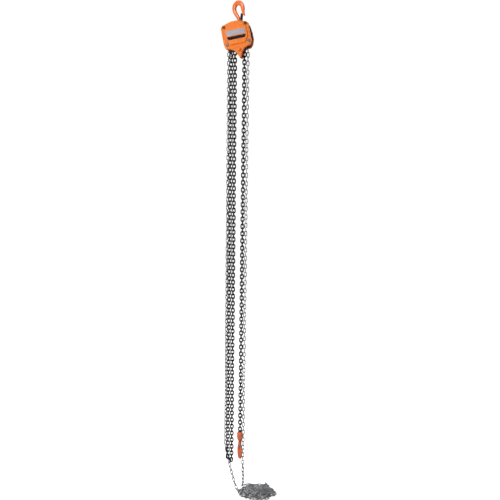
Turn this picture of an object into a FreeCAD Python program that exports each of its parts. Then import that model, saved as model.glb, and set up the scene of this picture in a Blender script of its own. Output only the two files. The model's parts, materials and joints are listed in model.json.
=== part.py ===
import FreeCAD, Part
import math, os

# Hand chain hoist, single fall, 1.5 t class. Millimetres.
# World frame: origin at the saddle centre of the top hook, +X right, +Z up; the gear cover
# faces -Y, the front. The body is drawn square in its own frame (x right, y back, z up,
# origin on the load sheave axis) and then hung at its resting tilt.

vec = FreeCAD.Vector
ORIGIN, X_AXIS, Y_AXIS, Z_AXIS = vec(0, 0, 0), vec(1, 0, 0), vec(0, 1, 0), vec(0, 0, 1)
os.makedirs("parts", exist_ok=True)

# ---------------------------------------------------------------- driving dimensions
BODY_TILT = 12.0             # lean of the unloaded body, degrees
HOOK_TILT = 4.6              # lean of the top hook, degrees
TOP_SWIVEL, LOAD_SWIVEL = 38.0, 14.0    # turn of each hook about its shank, degrees
HANGER = (23.5, 58.0)        # suspension pin in the body frame, x and z
PIN_TO_SADDLE = 93.0         # suspension pin to top hook saddle centre
SADDLE_R = 20.0              # hook bowl radius

LOAD_WIRE, LOAD_INNER, LOAD_WIDTH = 7.1, 21.0, 23.8    # load chain: wire, inner length, width
HAND_WIRE, HAND_INNER, HAND_WIDTH = 5.0, 24.0, 17.5    # hand chain
BEND_STEPS = 4               # straight lengths in the bend of a hanging or lying link

PLATE_IN, PLATE_T = 21.0, 6.0           # half gap between side plates, plate thickness
PLATE_OUT = PLATE_IN + PLATE_T
COVER_FACE = -64.0           # flat of the gear cover
PANEL_FACE = -69.5           # raised panel of the gear cover
REAR_FACE = 93.0             # back of the hand wheel cover
SHEET = 3.0                  # gear cover wall
REAR_SHEET = 2.5             # hand wheel cover wall
GAP = 0.02                   # clearance between touching pieces

SHEAVE_PITCH = 20.3          # link spacing round the sheave, eight links a turn
WHEEL_PITCH = 23.75          # link spacing round the hand wheel, fourteen links a turn
WHEEL_Y = 62.0               # centre plane of the hand wheel
# radius of the link joints, then of the link centres, on sheave and hand wheel
LOAD_JOINT_R = SHEAVE_PITCH / (2 * math.sin(math.pi / 8))
LOAD_LINK_R = LOAD_JOINT_R * math.cos(math.pi / 8)
HAND_JOINT_R = WHEEL_PITCH / (2 * math.sin(math.pi / 14))
HAND_LINK_R = HAND_JOINT_R * math.cos(math.pi / 14)

MODULE_1, PINION_1, WHEEL_1 = 1.5, 8, 40    # first reduction: module and tooth counts
MODULE_2, PINION_2, WHEEL_2 = 1.8, 8, 32    # second reduction
GEAR_CENTRES = 36.0          # centre distance of both reductions
DISC_ANGLE = 15.0            # disc gears sit this far above horizontal
PRESSURE = math.radians(25)
SHIFT = 0.5                  # profile shift, plus on pinions and minus on wheels
BACKLASH = 0.24
LOAD_GEAR_PHASE = 0.05

RATCHET_TEETH, RATCHET_TIP, RATCHET_ROOT = 12, 34.0, 29.8
LOAD_PIN_Z = -2398.0         # chain pin of the bottom block
LOAD_HOOK_DROP = 107.0       # chain pin to load hook saddle centre
HANG_PITCH = 20.6            # spacing of the links just below the sheave
LEAD_LINKS = 3               # such links on each side
FALL_LINKS = 106             # plumb links of the load fall
LOOP_LINKS = 106             # plumb links of slack fall beside the sheave
DEAD_LINKS = 105             # plumb links of the dead-end fall
DEAD_Y = 12.0                # top of the dead-end fall
HEAP_DROP = 41.0             # how far the heap lies below the level of its table


# ---------------------------------------------------------------- shape helpers
def rod(radius, y0, y1, x=0.0, z=0.0):
    return Part.makeCylinder(radius, abs(y1 - y0), vec(x, min(y0, y1), z), Y_AXIS)


def tube(outer, inner, y0, y1, x=0.0, z=0.0):
    return rod(outer, y0, y1, x, z).cut(rod(inner, min(y0, y1) - 1, max(y0, y1) + 1, x, z))


def cone(radius0, radius1, y0, y1, x=0.0, z=0.0):
    return Part.makeCone(radius0, radius1, y1 - y0, vec(x, y0, z), Y_AXIS)


def upright(radius, z0, z1):
    return Part.makeCylinder(radius, z1 - z0, vec(0, 0, z0), Z_AXIS)


def collar(outer, inner, z0, z1):
    return upright(outer, z0, z1).cut(upright(inner, z0 - 1, z1 + 1))


def box(x0, x1, y0, y1, z0, z1):
    return Part.makeBox(x1 - x0, y1 - y0, z1 - z0, vec(x0, y0, z0))


def polygon_face(points):
    return Part.Face(Part.makePolygon(points + [points[0]]))


def prism(points, y0, y1):
    return polygon_face([vec(x, y0, z) for x, z in points]).extrude(vec(0, y1 - y0, 0))


def turned(points, axis):
    return polygon_face(points).revolve(ORIGIN, axis, 360)


def spun(shape, degrees):
    """A copy turned about the Y axis."""
    copy = shape.copy()
    copy.rotate(ORIGIN, Y_AXIS, degrees)
    return copy


def with_opposite(shape):
    return shape, spun(shape, 180)


def polar(radius, angle, x=0.0, z=0.0):
    return x + radius * math.cos(angle), z + radius * math.sin(angle)


def unit(vector):
    return vector * (1 / vector.Length)


# Outlines are lists of (x, z, corner radius), clockwise seen from the front.
def mirror(outline):
    return [(-x, z, radius) for x, z, radius in reversed(outline)]


def round_wire(outline, y):
    arcs = []
    for i, (x, z, radius) in enumerate(outline):
        before, after = outline[i - 1], outline[(i + 1) % len(outline)]
        back = unit(vec(before[0] - x, 0, before[1] - z))
        ahead = unit(vec(after[0] - x, 0, after[1] - z))
        corner = vec(x, y, z)
        half = back.getAngle(ahead) / 2
        setback = radius / math.tan(half)
        reach = radius / math.sin(half) - radius
        middle = corner + unit(back + ahead) * reach
        arcs.append((corner + back * setback, middle, corner + ahead * setback))
    edges = []
    for i, (start, middle, end) in enumerate(arcs):
        edges.append(Part.Arc(start, middle, end).toShape())
        following = arcs[(i + 1) % len(arcs)][0]
        if (following - end).Length > 1e-6:
            edges.append(Part.LineSegment(end, following).toShape())
    return Part.Wire(edges)


def grow(outline, by):
    """The outline moved outwards by a distance, corner by corner."""
    grown = []
    for i, (x, z, radius) in enumerate(outline):
        before, after = outline[i - 1], outline[(i + 1) % len(outline)]
        into = unit(vec(x - before[0], 0, z - before[1]))
        out = unit(vec(after[0] - x, 0, after[1] - z))
        move = by / (1 + into.dot(out))
        convex = into.z * out.x > into.x * out.z
        radius += by if convex else -by
        grown.append((x - (into.z + out.z) * move, z + (into.x + out.x) * move,
                      max(radius, 0.6)))
    return grown


def slab(outline, y0, y1):
    return Part.Face(round_wire(outline, y0)).extrude(vec(0, y1 - y0, 0))


def loft(*wires):
    return Part.makeLoft(list(wires), True, True)


def round_rim(shape, radius, y):
    """Fillet every edge that lies in the plane at y."""
    edges = [edge for edge in shape.Edges
             if abs(edge.BoundBox.YMin - y) < 1e-3 and abs(edge.BoundBox.YMax - y) < 1e-3]
    return shape.makeFillet(radius, edges)


def hexagon(flats, y0, y1, x, z, turn=0.0):
    """Hexagonal bar along Y, its corners chamfered at both ends."""
    corner = flats / 2 / math.cos(math.pi / 6)
    bar = prism([polar(corner, turn + k * math.pi / 3, x, z) for k in range(6)], y0, y1)
    height = y1 - y0
    wide, narrow = corner * 0.97 + height, corner * 0.97 - 1.2
    lens = cone(narrow, wide, y0, y0 + height + 1.2, x, z)
    return bar.common(lens.common(cone(wide, narrow, y1 - height - 1.2, y1, x, z)))


def nut(flats, y0, y1, x, z, radius):
    return hexagon(flats, y0, y1, x, z, 0.2).cut(rod(radius, y0 - 1, y1 + 1, x, z))


def headed_pin(radius, head, half, reach, front, rear, x, z, y=0.0):
    """Pin through faces at y - half and y + half; the rest are distances beyond them."""
    pin = rod(radius, y - half - reach, y + half + reach, x, z)
    pin = pin.fuse(rod(head, y - half - front, y - half - GAP, x, z))
    return pin.fuse(rod(head, y + half + GAP, y + half + rear, x, z)).removeSplitter()


# ---------------------------------------------------------------- frames and output
BODY = FreeCAD.Placement(ORIGIN, FreeCAD.Rotation(Y_AXIS, -BODY_TILT))
HOOK_LEAN = math.radians(HOOK_TILT)
PIN_WORLD = vec(PIN_TO_SADDLE * math.sin(HOOK_LEAN), 0, -PIN_TO_SADDLE * math.cos(HOOK_LEAN))
BODY.Base = PIN_WORLD - BODY.multVec(vec(HANGER[0], 0, HANGER[1]))
AXIS = BODY.multVec(ORIGIN)             # load sheave axis in the world
WORLD = FreeCAD.Placement()


def save(name, solids):
    Part.makeCompound(solids).exportStep("parts/%s.step" % name)


def put(name, frame, *shapes):
    """Save the solids of shapes drawn in the given frame."""
    placed = []
    for shape in shapes:
        for solid in shape.Solids:
            copy = solid.copy()
            copy.Placement = frame.multiply(copy.Placement)
            placed.append(copy)
    save(name, placed)


def put_body(name, *shapes):
    put(name, BODY, *shapes)


# ---------------------------------------------------------------- housing
# half outlines of the body, right side, from the top down
TOP = [(13, 88.5, 22), (42, 81.5, 30), (67, 74, 9), (75.5, 62, 9)]
LOW = [(75.5, -31, 16), (68, -50, 9), (54, -51.5, 9), (31, -60, 18), (15, -79, 22),
       (4.2, -104.5, 4.0)]
REAR_SIDE = [(77, 58, 12), (83, 18, 40), (83, -16, 34), (73, -45, 24), (58, -62, 14),
             (47, -61, 8), (31, -63, 18), (17, -84, 26), (7, -106, 6)]
FRONT = TOP + LOW + mirror(LOW) + mirror(TOP)
REAR = TOP[:3] + REAR_SIDE + mirror(REAR_SIDE) + mirror(TOP[:3])
PLATE = grow(FRONT, -1.2)
PANEL_SIDE = [(44, 60, 5), (64, 46, 9), (64, 0, 9), (42, -36, 6)]
PANEL = PANEL_SIDE + mirror(PANEL_SIDE)

# places as (x, z)
UP_BOLTS = [(-59, 65), (59, 65)]
LOW_BOLTS = [(-59, -27), (59, -27)]
TONGUE_BOLT = (0, -64)
REAR_BOLT = (0, -78)
CORNER_BOLTS = UP_BOLTS + LOW_BOLTS
FRONT_BOLTS = CORNER_BOLTS + [TONGUE_BOLT]
REAR_BOLTS = UP_BOLTS + [REAR_BOLT]
BOLT_R, BOLT_HOLE_R = 4.0, 4.2
GEAR_ANGLES = [math.radians(DISC_ANGLE), math.radians(180 - DISC_ANGLE)]
DISC_CENTRES = [polar(GEAR_CENTRES, angle) for angle in GEAR_ANGLES]
ROLLERS = [(-47.5, -12.0), (47.5, -12.0)]
PAWL = (24.0, 41.6)
ANCHOR = (-51.0, -42.5)
STRIPPER = (0, -52)

# gear cover: pressed sheet pan with a raised panel, a bolt boss and a rolled rim
shell = round_rim(slab(FRONT, -PLATE_OUT, COVER_FACE), 5.5, COVER_FACE)
shoulder = round_wire(grow(PANEL, -4.0), PANEL_FACE + 1.0)
panel = loft(round_wire(PANEL, COVER_FACE + 1), shoulder)
panel_top = loft(shoulder, round_wire(grow(PANEL, -5.4), PANEL_FACE))
inside = grow(FRONT, -SHEET)
hollow = slab(inside, -PLATE_OUT + 1, COVER_FACE + SHEET)
hollow = hollow.fuse(loft(round_wire(grow(PANEL, -3.0), COVER_FACE + SHEET + 1),
                          round_wire(grow(PANEL, -6.5), PANEL_FACE + SHEET)))
rim = slab(grow(FRONT, 1.8), -PLATE_OUT, -PLATE_OUT - 2.5)
rim = rim.cut(slab(inside, -PLATE_OUT + 1, -PLATE_OUT - 4))
boss = rod(12.0, COVER_FACE + 1, COVER_FACE - 2.2, *TONGUE_BOLT)
boss = boss.fuse(cone(10.2, 12.0, COVER_FACE - 3.4, COVER_FACE - 2.2, *TONGUE_BOLT))
cover = shell.fuse([panel, panel_top, boss]).cut(hollow).fuse(rim)
for x, z in FRONT_BOLTS:
    cover = cover.cut(rod(BOLT_HOLE_R, -80, -20, x, z))
put_body("gear_cover", cover.removeSplitter())

LABEL = [(50.5, 42.5, 3), (50.5, 14, 3), (-50.5, 14, 3), (-50.5, 42.5, 3)]
STRIP = [(54, 9.5, 4), (44, -6.5, 5), (-44, -6.5, 5), (-54, 9.5, 4)]
put_body("label_plate", slab(LABEL, PANEL_FACE - GAP, PANEL_FACE - 0.9))
put_body("rating_strip", slab(STRIP, PANEL_FACE - GAP, PANEL_FACE - 1.2))


def side_plate(y0, y1, own_holes):
    """Side plate with its bearing seat; holes are (x, z, radius)."""
    holes = [(0, 0, 21.0)] + [bolt + (4.1,) for bolt in FRONT_BOLTS]
    holes += [HANGER + (6.0,)] + [roller + (4.0,) for roller in reversed(ROLLERS)]
    holes += [ANCHOR + (5.0,), STRIPPER + (3.5,)]
    plate = slab(PLATE, y0, y1)
    for x, z, radius in holes + own_holes:
        plate = plate.cut(rod(radius, -100, 100, x, z))
    return plate


put_body("gear_side_plate", side_plate(-PLATE_OUT, -PLATE_IN,
                                       [centre + (5.66,) for centre in DISC_CENTRES]))
put_body("wheel_side_plate", side_plate(PLATE_IN, PLATE_OUT,
         [PAWL + (4.0,), (-PAWL[0], -PAWL[1], 4.0), REAR_BOLT + (4.1,)]))

# hand wheel cover, with a round dome and a slot for each chain strand
pan = round_rim(slab(REAR, PLATE_OUT, REAR_FACE), 8.0, REAR_FACE)
pan = pan.cut(slab(grow(REAR, -REAR_SHEET), PLATE_OUT - 1, REAR_FACE - REAR_SHEET))
dome = loft(*[Part.Wire(Part.makeCircle(radius, vec(0, y, 0), Y_AXIS))
              for radius, y in ((44, REAR_FACE - 0.5), (38, REAR_FACE + 4))])
pan = pan.fuse(dome).cut(rod(36, REAR_FACE - 4, REAR_FACE + 1.5))
for x in (HAND_JOINT_R, -HAND_JOINT_R):
    # plumb in the world, so turned back by the body tilt
    slot = box(x - 13.0, x + 13.0, WHEEL_Y - 14, WHEEL_Y + 14, -130, -14)
    pan = pan.cut(spun(slot, BODY_TILT))
for x, z in REAR_BOLTS:
    pan = pan.cut(rod(BOLT_HOLE_R, 60, 120, x, z))
put_body("hand_wheel_cover", pan.removeSplitter())


# fasteners
def stay_bolt(y0, y1, sleeve, x, z):
    return rod(BOLT_R, y0, y1, x, z).fuse(tube(sleeve, BOLT_R, -PLATE_IN, PLATE_IN, x, z))


stays = [stay_bolt(-71.5, REAR_FACE + 8, 6.9, x, z) for x, z in UP_BOLTS]
stays += [stay_bolt(-71.5, PLATE_OUT + 8, 6.9, x, z) for x, z in LOW_BOLTS]
stays.append(stay_bolt(-73.5, PLATE_OUT + 8, 6.5, *TONGUE_BOLT))
stays.append(rod(BOLT_R, PLATE_IN - 4.0, REAR_FACE + 8, *REAR_BOLT)
             .fuse(rod(6.5, PLATE_IN - 5.0, PLATE_IN - GAP, *REAR_BOLT)))
put_body("stay_bolts", *stays)
put_body("cover_washers", *[tube(8.2, 4.05, COVER_FACE - 1.6, COVER_FACE - GAP, x, z)
                            for x, z in CORNER_BOLTS])
nut_rows = [(CORNER_BOLTS, COVER_FACE - 7.2, COVER_FACE - 1.62),
            ([TONGUE_BOLT], COVER_FACE - 9.2, COVER_FACE - 3.42),
            (REAR_BOLTS, REAR_FACE + GAP, REAR_FACE + 6.2),
            (LOW_BOLTS + [TONGUE_BOLT], PLATE_OUT + GAP, PLATE_OUT + 6.2)]
put_body("cover_nuts", *[nut(13, y0, y1, x, z, BOLT_R)
                         for places, y0, y1 in nut_rows for x, z in places])
spacer_rows = [(FRONT_BOLTS, COVER_FACE + SHEET + GAP, -PLATE_OUT - GAP),
               (REAR_BOLTS, PLATE_OUT + GAP, REAR_FACE - REAR_SHEET - GAP)]
put_body("cover_spacers", *[tube(6.5, 4.1, y0, y1, x, z)
                            for places, y0, y1 in spacer_rows for x, z in places])


# ---------------------------------------------------------------- chain links
# A link lies in its XZ plane, long along Z.
def round_link(wire, inner, width):
    offset, radius = (width - wire) / 2, wire / 2
    half = inner / 2 + radius - offset          # half the straight shank
    bars = [Part.makeCylinder(radius, 2 * half, vec(x, 0, -half)) for x in (offset, -offset)]
    for sign in (1, -1):
        circle = Part.Wire(Part.makeCircle(radius, vec(offset, 0, sign * half), Z_AXIS))
        bars.append(Part.Face(circle).revolve(vec(0, 0, sign * half), -Y_AXIS, 180.0 * sign))
    return bars[0].fuse(bars[1:]).removeSplitter().Solids[0]


def bent_link(wire, inner, width):
    """The same link bent from straight lengths, mitred where they meet."""
    offset, radius = (width - wire) / 2, wire / 2
    half = inner / 2 + radius - offset
    step = math.pi / BEND_STEPS
    ring = offset / math.cos(step / 2)
    bend = [polar(ring, (k + 0.5) * step, 0, half) for k in range(BEND_STEPS)]
    corners = [vec(x, 0, z) for x, z in bend] + [vec(-x, 0, -z) for x, z in bend]
    count = len(corners)
    link = None
    for i in range(count):
        start, end = corners[i], corners[(i + 1) % count]
        along = unit(end - start)
        before = unit(start - corners[i - 1])
        after = unit(corners[(i + 2) % count] - end)
        bar = Part.makeCylinder(radius, (end - start).Length + 4 * radius,
                                start - along * (2 * radius), along)
        for corner, normal in ((start, along + before), (end, -(along + after))):
            normal = unit(normal)
            side = vec(normal.z, 0, -normal.x) * 30
            deep = vec(0, 20, 0)
            mitre = polygon_face([corner + side - deep, corner - side - deep,
                                  corner - side + deep, corner + side + deep])
            bar = bar.common(mitre.extrude(normal * 60))
        link = bar if link is None else link.fuse(bar)
    return link.removeSplitter().Solids[0]


ROUND_LOAD = round_link(LOAD_WIRE, LOAD_INNER, LOAD_WIDTH)
ROUND_HAND = round_link(HAND_WIRE, HAND_INNER, HAND_WIDTH)
LOAD_LINK = bent_link(LOAD_WIRE, LOAD_INNER, LOAD_WIDTH)
HAND_LINK = bent_link(HAND_WIRE, HAND_INNER, HAND_WIDTH)

# ---------------------------------------------------------------- load sheave and bearings
# half sections are (radius, y)
SHEAVE_SECTION = [(8.12, -40.8), (13.0, -40.8), (13.0, -28.6), (14.96, -28.6), (14.96, -20.6),
                  (30.0, -17.6), (34.0, -17.6), (34.0, -14.6), (28.5, -12.25), (28.5, 12.25),
                  (34.0, 14.6), (34.0, 17.6), (30.0, 17.6), (14.96, 20.6), (14.96, 28.2),
                  (8.12, 28.2)]
sheave = turned([vec(radius, y, 0) for radius, y in SHEAVE_SECTION], Y_AXIS)
half_length = LOAD_INNER / 2 + LOAD_WIRE + 0.25
pocket = box(LOAD_LINK_R - LOAD_WIRE / 2 - 0.12, 60, -12.2, 12.2, -half_length, half_length)
for k in range(4):
    sheave = sheave.cut(spun(pocket, -(22.5 + 90 * k)))
sheave = sheave.cut(tube(60, LOAD_LINK_R - LOAD_WIDTH / 2 - 0.15, -3.8, 3.8))
# the crown of a link leaving the sheave swings down into its pocket, so each pocket is
# relieved at both ends
relief_link = round_link(LOAD_WIRE + 0.5, LOAD_INNER - 0.5, LOAD_WIDTH + 0.5)
for x in (LOAD_JOINT_R, -LOAD_JOINT_R):
    relief = relief_link.copy()
    centre = vec(x, 0, -SHEAVE_PITCH / 2)
    relief.translate(centre)
    relief.rotate(centre, Z_AXIS, 90)
    for k in range(4):
        sheave = sheave.cut(relief)
        relief = spun(relief, 90)
put_body("load_sheave", max(sheave.Solids, key=lambda solid: solid.Volume))


def bearing(y0, y1):
    middle = (y0 + y1) / 2
    groove = Part.makeTorus(18.0, 2.3, vec(0, middle, 0), Y_AXIS)
    rings = [tube(21.0, 19.1, y0, y1).cut(groove), tube(16.9, 15.0, y0, y1).cut(groove)]
    balls = []
    for k in range(16):
        x, z = polar(18.0, 2 * math.pi * k / 16)
        balls.append(Part.makeSphere(2.2, vec(x, middle, z)))
    return rings + balls


put_body("sheave_bearings", *(bearing(-PLATE_OUT, -PLATE_IN) + bearing(PLATE_IN, PLATE_OUT)))


# ---------------------------------------------------------------- gear train
def involute(angle):
    return math.tan(angle) - angle


def gear(module, teeth, shift, phase, y0, y1, x=0.0, z=0.0):
    """Involute spur gear, tooth 0 centred on phase."""
    pitch_r = module * teeth / 2
    base_r = pitch_r * math.cos(PRESSURE)
    tip_r = pitch_r + module * (1 + shift) - 0.18
    root_r = pitch_r - module * (1.25 - shift)
    start_r = max(base_r, root_r + 0.05)
    half_base = (math.pi / 2 + 2 * shift * math.tan(PRESSURE)) / teeth
    half_base += involute(PRESSURE) - BACKLASH / (4 * pitch_r)
    flank = []
    for k in range(7):
        radius = start_r + (tip_r - start_r) * (k / 6) ** 1.4
        flank.append((radius, half_base - involute(math.acos(min(1.0, base_r / radius)))))
    half_pitch = math.pi / teeth
    flank.insert(0, (root_r, min(flank[0][1] + 0.02, half_pitch * 0.94)))
    tooth = [(root_r, -0.82 * half_pitch)] + [(radius, -angle) for radius, angle in flank]
    tooth += reversed(flank)
    return prism([polar(radius, phase + 2 * half_pitch * k + angle, x, z)
                  for k in range(teeth) for radius, angle in tooth], y0, y1)


def mesh_phase(phase, teeth, other_teeth, direction):
    """Phase of a second gear, lying in a direction from the first, so that the two mesh."""
    offset = (phase - direction) % (2 * math.pi / teeth)
    return direction + math.pi - offset * teeth / other_teeth - math.pi / other_teeth


SPLIT_PIN_Y = 83.6
shaft = gear(MODULE_1, PINION_1, SHIFT, 0.0, -60.5, -49.5)
shaft = shaft.fuse([rod(4.6, -66.2, -60.4), rod(8.0, -49.6, 75.0), cone(8.0, 7.0, 75.0, 75.9),
                    rod(7.0, 75.9, 86.5), cone(7.0, 6.2, 86.5, 87.5)])
shaft = shaft.cut(Part.makeCylinder(1.6, 30, vec(-15, SPLIT_PIN_Y, 0), X_AXIS))
put_body("drive_shaft", shaft.removeSplitter())

for letter, angle, (x, z) in zip("ab", GEAR_ANGLES, DISC_CENTRES):
    disc_phase = mesh_phase(0.0, PINION_1, WHEEL_1, angle)
    arbor_phase = mesh_phase(LOAD_GEAR_PHASE, WHEEL_2, PINION_2, angle)
    disc = gear(MODULE_1, WHEEL_1, -SHIFT, disc_phase, -60.0, -50.0, x, z)
    for k in range(5):
        disc = disc.cut(rod(5.0, -61, -49, *polar(19, disc_phase + 2 * math.pi * k / 5, x, z)))
    arbor = gear(MODULE_2, PINION_2, SHIFT, arbor_phase, -40.2, -28.8, x, z)
    arbor = arbor.fuse([rod(7.4, -50.1, -40.1, x, z), rod(5.0, -66.2, -59.9, x, z),
                        rod(5.6, -28.9, -20.8, x, z)])
    put_body("disc_gear_" + letter, disc.fuse(arbor).removeSplitter())

load_gear = gear(MODULE_2, WHEEL_2, -SHIFT, LOAD_GEAR_PHASE, -39.0, -28.8)
load_gear = load_gear.cut(rod(13.0, -40.0, -27.8))
for k in range(8):
    load_gear = load_gear.cut(rod(2.6, -41, -27, *polar(19.5, LOAD_GEAR_PHASE + math.pi * k / 4)))
put_body("load_gear", load_gear)
put_body("gear_circlip", tube(16.2, 13.0, -40.7, -39.05).cut(box(10, 20, -42, -38, -2.5, 2.5)))

# plate carrying the front journals
JOURNAL_LEFT = [(-20, -16, 8), (-46, -2, 7), (-48, 12, 7), (-40, 26, 7)]
journals = slab(mirror(JOURNAL_LEFT) + JOURNAL_LEFT, -66.5, -61.2)
for x, z in DISC_CENTRES:
    journals = journals.cut(rod(5.06, -70, -50, x, z))
journals = journals.cut(rod(4.66, -70, -50)).cut(rod(4.2, -70, -50, 0, -22))
put_body("journal_plate", journals)

# ---------------------------------------------------------------- load brake
hub = tube(30.0, 8.0, 29.0, 35.0).fuse(tube(12.0, 8.0, 34.9, 47.3))
put_body("brake_hub", hub.removeSplitter())
put_body("friction_discs", *[tube(29.0, 12.05, y, y + 3.0) for y in (35.05, 44.25)])
teeth = []
for k in range(RATCHET_TEETH):
    for step in range(7):
        radius = RATCHET_TIP - (RATCHET_TIP - RATCHET_ROOT) * step / 6
        teeth.append(polar(radius, math.radians(100 + 30 * k + 5 * step)))
put_body("ratchet_disc", prism(teeth, 38.2, 44.1).cut(rod(12.06, 30, 50)))

# nose and back of the pawl arm follow the ratchet: (radius, degrees)
NOSE = [(30.1, 99.65), (31.7, 90), (33.3, 80), (34.6, 72)]
NOSE_BACK = [(38.4, 95.4), (35.6, 99.55)]
PAWL_HEEL = [(20.5, 36.6), (27.5, 46.4), (14.0, 43.2)]


def at_degrees(places):
    return [polar(radius, math.radians(degrees)) for radius, degrees in places]


pawl = prism(at_degrees(NOSE) + PAWL_HEEL + at_degrees(NOSE_BACK), 38.3, 44.0)
pawl = pawl.fuse(rod(6.6, 38.3, 44.0, *PAWL)).cut(rod(4.05, 30, 50, *PAWL)).removeSplitter()
for letter, shape in zip("ab", with_opposite(pawl)):
    put_body("pawl_" + letter, shape)
pin = rod(4.0, PLATE_IN, 46.2, *PAWL).fuse(rod(6.0, PLATE_OUT, 28.2, *PAWL))
pin = pin.fuse(rod(6.0, 44.3, 45.6, *PAWL)).removeSplitter()
put_body("pawl_pins", *with_opposite(pin))
coils = [Part.makeTorus(5.0, 0.85, vec(PAWL[0], 30.4 + 1.55 * k, PAWL[1]), Y_AXIS)
         for k in range(5)]
spring = coils[0]
for coil in coils[1:]:
    spring = spring.fuse(coil)
spring_leg = Part.makeCylinder(0.8, 9, vec(PAWL[0] + 5.0, 30.4, PAWL[1]), vec(0.25, 0, 1))
put_body("pawl_springs", *with_opposite(spring.fuse(spring_leg)))

# ---------------------------------------------------------------- hand wheel
WHEEL_SECTION = [(8.0, 47.35), (26.0, 47.35), (26.0, 49.0), (36.0, 53.0), (44.0, 53.0),
                 (54.0, WHEEL_Y - 14.0), (61.0, WHEEL_Y - 14.0), (61.0, WHEEL_Y - 11.6),
                 (55.5, WHEEL_Y - 9.2), (55.5, WHEEL_Y + 9.2), (61.0, WHEEL_Y + 11.6),
                 (61.0, WHEEL_Y + 14.0), (54.0, WHEEL_Y + 14.0), (44.0, 69.5), (24.0, 69.5),
                 (20.0, 75.9), (8.0, 75.9)]
wheel = turned([vec(radius, y, 0) for radius, y in WHEEL_SECTION], Y_AXIS)
half_length = HAND_INNER / 2 + HAND_WIRE + 0.3
pocket = box(HAND_LINK_R - HAND_WIRE / 2 - 0.62, 80, WHEEL_Y - 9.15, WHEEL_Y + 9.15,
             -half_length, half_length)
for k in range(7):
    wheel = wheel.cut(spun(pocket, -(90 + 360.0 * k / 7 - BODY_TILT)))
wheel = wheel.cut(tube(80, HAND_LINK_R - HAND_WIDTH / 2 - 0.2, WHEEL_Y - 2.8, WHEEL_Y + 2.8))
for k in range(6):
    wheel = wheel.cut(rod(6.5, 40, 80, *polar(33, math.radians(30 + 60 * k))))
put_body("hand_wheel", wheel)
castle = nut(24, 77.1, 86.0, 0, 0, 7.0)
for k in range(3):
    castle = castle.cut(spun(box(-20, 20, 81.8, 90, -1.9, 1.9), 60.0 * k))
put_body("castle_nut", castle.fuse(tube(11.0, 7.0, 75.95, 77.3)).removeSplitter())
put_body("split_pin", Part.makeCylinder(1.5, 30, vec(-16.0, SPLIT_PIN_Y, 0), X_AXIS)
         .fuse(Part.makeTorus(2.2, 1.0, vec(-17.8, SPLIT_PIN_Y, 0), Y_AXIS)))

# ---------------------------------------------------------------- rollers and stripper
for letter, (x, z) in zip("ab", ROLLERS):
    roller = tube(8.0, 4.05, -20.6, 20.6, x, z).cut(tube(12, 6.2, -5.0, 5.0, x, z))
    put_body("guide_roller_" + letter, roller)
put_body("roller_pins", *[rod(4.0, -PLATE_OUT, PLATE_OUT, x, z) for x, z in ROLLERS])
stripper = slab([(11.5, -36.5, 3), (13.2, -56.6, 3), (-13.2, -56.6, 3), (-11.5, -36.5, 3)],
                -20.6, 20.6)
stripper = stripper.fuse(prism([(9, -38), (7.5, -22), (3.2, -13.4), (-3.2, -13.4),
                                (-7.5, -22), (-9, -38)], -3.4, 3.4))
put_body("chain_stripper", stripper.cut(rod(3.5, -30, 30, *STRIPPER)).removeSplitter())
put_body("stripper_pin", headed_pin(3.5, 4.3, PLATE_OUT, 1.2, 2.4, 1.9, *STRIPPER))

# ---------------------------------------------------------------- hooks
# Drawn about the saddle centre, shank towards -Z.
# stations from shank to tip: x, z, half width in the hook plane, half thickness
HOOK_PATH = [
    (0, -64.8, 8.6, 8.5), (-1.2, -57, 9.8, 8.8), (-6.4, -44, 10.6, 9.0), (-16, -30, 11.4, 9.1),
    (-25.2, -16, 12.1, 9.2), (-30.4, -3, 12.3, 9.3), (-30.7, 8.2, 12.6, 9.4),
    (-24.7, 20.7, 13.1, 9.5), (-13.7, 29.4, 13.3, 9.6), (0, 32.4, 13.4, 9.6),
    (13.7, 29.4, 13.3, 9.6), (24.6, 20.6, 13.0, 9.5), (30.5, 8.2, 12.4, 9.2),
    (31.7, -4, 11.3, 8.8), (32.0, -14, 9.6, 8.0), (33.8, -23.5, 7.6, 6.9),
    (37.4, -32, 5.6, 5.4), (40.6, -37.6, 4.0, 3.9), (42.2, -40.2, 2.0, 1.9)]
SHANK_R = 8.0
LATCH = (15.0, -58.0)        # latch pivot, x and z


def hook(shank_end):
    wires = []
    for i, (x, z, wide, thick) in enumerate(HOOK_PATH):
        before, after = HOOK_PATH[max(i - 1, 0)], HOOK_PATH[min(i + 1, len(HOOK_PATH) - 1)]
        along = unit(vec(after[0] - before[0], 0, after[1] - before[1])) if i else Z_AXIS
        centre = vec(x, 0, z)
        across = vec(along.z, 0, -along.x)
        section = Part.Ellipse(centre + across * wide, centre + vec(0, thick, 0), centre)
        wires.append(Part.Wire([section.toShape()]))
    body = Part.makeLoft(wires, True, False)
    body = body.fuse(upright(SHANK_R, shank_end, HOOK_PATH[0][1] + 1.0))
    lug = rod(4.4, -2.2, 2.2, *LATCH)
    lug = lug.fuse(prism([(4, -63.6), (LATCH[0], -62.4), (LATCH[0], -53.6), (4, -51)], -2.2, 2.2))
    body = body.fuse(lug).cut(rod(SADDLE_R, -20, 20)).cut(rod(2.5, -20, 20, *LATCH))
    return body.removeSplitter()


def latch():
    """Folded sheet gate, open towards the hook bowl."""
    outline = [(10.9, -60.2), (19.0, -61.4), (20.2, -56), (25.2, -28), (23.6, -24.6), (18.0, -26),
               (13.3, -50), (10.4, -56)]
    gate = prism(outline, -6.2, 6.2).fuse(rod(4.6, -6.2, 6.2, *LATCH))
    gap = prism([(x - 2.3, z - 1.7) for x, z in outline], -4.1, 4.1)
    gap = gap.fuse(box(5, LATCH[0] + 8.0, -4.1, 4.1, -66, -53))
    return gate.cut(gap).cut(rod(2.56, -20, 20, *LATCH)).cut(rod(1.6, -20, 20, 18.6, -35))


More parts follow.
